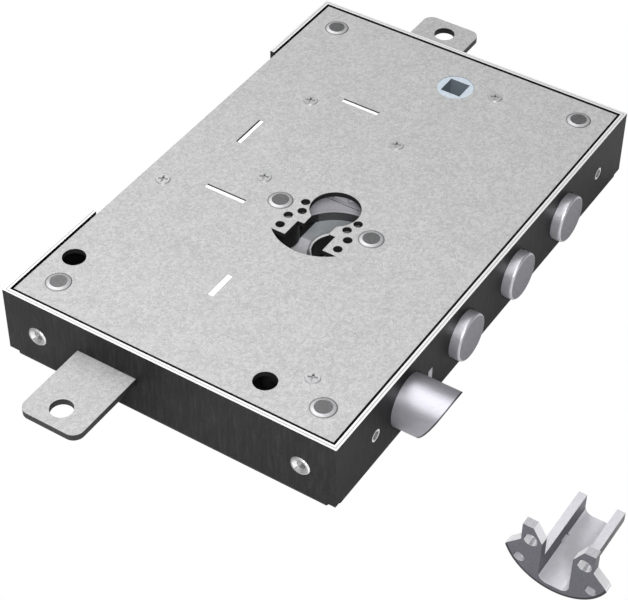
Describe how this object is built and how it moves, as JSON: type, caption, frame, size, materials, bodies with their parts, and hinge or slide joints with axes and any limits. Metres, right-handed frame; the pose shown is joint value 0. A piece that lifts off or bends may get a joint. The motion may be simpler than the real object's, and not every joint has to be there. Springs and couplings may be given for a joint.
{
  "type": "multipoint door lock",
  "caption": "Steel mortise-style multipoint door lock with round deadbolts, a bevelled latch, top and bottom rods and a loose cylinder cradle.",
  "frame": {"origin": "axis of the key cylinder on the outer back face of the case", "axes": "+X towards the deadbolts, +Y along the case towards the handle's follower, +Z out of the cover; the lock lies on its back"},
  "size_m": [0.2244, 0.2647, 0.0305],
  "materials": {
    "dark_sheet": "satin",
    "galvanised_sheet": "satin",
    "rivet_steel": "satin",
    "screw_steel": "polished",
    "inner_plate": "satin",
    "gear_steel": "satin",
    "clip_steel": "satin",
    "guide_brass": "satin",
    "rod_steel": "satin",
    "bolt_steel": "polished",
    "spring_steel": "satin",
    "follower_zinc": "satin",
    "cradle_zinc": "satin"
  },
  "bodies": {
    "case": {"case_tray": "dark_sheet", "cover_plate": "galvanised_sheet", "corner_posts": "rivet_steel", "protector_posts": "rivet_steel", "cover_pillars": "rivet_steel", "cover_screws": "screw_steel", "wall_nuts": "screw_steel", "front_guide_plate": "inner_plate", "gear_plate": "inner_plate", "upper_plate": "inner_plate", "chassis_pillars": "rivet_steel", "cylinder_cup": "inner_plate", "drive_axle": "rivet_steel", "reversing_axle": "rivet_steel", "carriage_axle": "rivet_steel", "axle_clips": "clip_steel", "upper_rod_guide": "guide_brass", "lower_rod_guide": "guide_brass", "upper_blade": "inner_plate", "rod_divider": "inner_plate", "lower_blade": "inner_plate", "spindle_guide": "inner_plate", "carriage_pin": "rivet_steel", "latch_spring": "spring_steel", "crank_post": "rivet_steel", "crank_clip": "clip_steel", "cylinder_cradle": "cradle_zinc"},
    "bolt_carriage": {"bolt_carriage": "gear_steel", "deadbolt_lower": "bolt_steel", "deadbolt_middle": "bolt_steel", "deadbolt_upper": "bolt_steel"},
    "upper_rod": {"upper_rod": "rod_steel"},
    "lower_rod": {"lower_rod": "rod_steel"},
    "cam_gear": {"cam_gear": "gear_steel"},
    "drive_gear": {"drive_gear": "gear_steel"},
    "reversing_pinion": {"reversing_pinion": "gear_steel"},
    "carriage_gear": {"carriage_gear": "gear_steel"},
    "latch": {"latch_bolt": "bolt_steel"},
    "handle_follower": {"handle_follower": "follower_zinc"},
    "link_bar": {"link_bar": "gear_steel"},
    "latch_crank": {"latch_crank": "gear_steel"}
  },
  "joints": [
    {"name": "bolt_throw", "type": "slide", "parent": "case", "child": "bolt_carriage", "axis": [1, 0, 0], "range_m": [0, 0.027]},
    {"name": "upper_rod_slide", "type": "slide", "parent": "case", "child": "upper_rod", "axis": [0, 1, 0], "range_m": [0, 0.01485]},
    {"name": "lower_rod_slide", "type": "slide", "parent": "case", "child": "lower_rod", "axis": [0, -1, 0], "range_m": [0, 0.01485]},
    {"name": "carriage_gear_spin", "type": "hinge", "parent": "case", "child": "carriage_gear", "pos_m": [-0.0005, 0.0425, 0.0165], "axis": [0, 0, 1], "range_deg": [-154.8, 0]},
    {"name": "drive_gear_spin", "type": "hinge", "parent": "case", "child": "drive_gear", "pos_m": [-0.03099, 0.0007, 0.008], "axis": [0, 0, 1], "range_deg": [-154.8, 0]},
    {"name": "reversing_spin", "type": "hinge", "parent": "case", "child": "reversing_pinion", "pos_m": [-0.0415, 0.0476, 0.0165], "axis": [0, 0, 1], "range_deg": [0, 121.6]},
    {"name": "cam_gear_spin", "type": "hinge", "parent": "case", "child": "cam_gear", "pos_m": [0, 0, 0.004], "axis": [0, 0, 1], "range_deg": [0, 214.3]},
    {"name": "latch_slide", "type": "slide", "parent": "case", "child": "latch", "axis": [-1, 0, 0], "range_m": [0, 0.017], "stiffness_N_per_m": 200, "springref_m": -0.02, "deforming": ["latch_spring"]},
    {"name": "handle_turn", "type": "hinge", "parent": "case", "child": "handle_follower", "pos_m": [0, 0.085, 0.014], "axis": [0, 0, 1], "range_deg": [0, 30.01]},
    {"name": "link_slide", "type": "slide", "parent": "case", "child": "link_bar", "axis": [0, 1, 0], "range_m": [0, 0.01551]},
    {"name": "crank_turn", "type": "hinge", "parent": "case", "child": "latch_crank", "pos_m": [0.019, -0.0665, 0.0235], "axis": [0, 0, 1], "range_deg": [0, 80.02]}
  ],
  "couplings": [
    {"joint": "upper_rod_slide", "follows": "bolt_throw", "ratio": 0.55},
    {"joint": "lower_rod_slide", "follows": "bolt_throw", "ratio": 0.55},
    {"joint": "carriage_gear_spin", "follows": "bolt_throw", "rad_per_m": -100},
    {"joint": "drive_gear_spin", "follows": "bolt_throw", "rad_per_m": -100},
    {"joint": "reversing_spin", "follows": "bolt_throw", "rad_per_m": 78.571},
    {"joint": "cam_gear_spin", "follows": "bolt_throw", "rad_per_m": 138.46},
    {"joint": "handle_turn", "follows": "latch_slide", "rad_per_m": 30.8},
    {"joint": "link_slide", "follows": "latch_slide", "ratio": 0.9106},
    {"joint": "crank_turn", "follows": "latch_slide", "rad_per_m": 82.133}
  ]
}
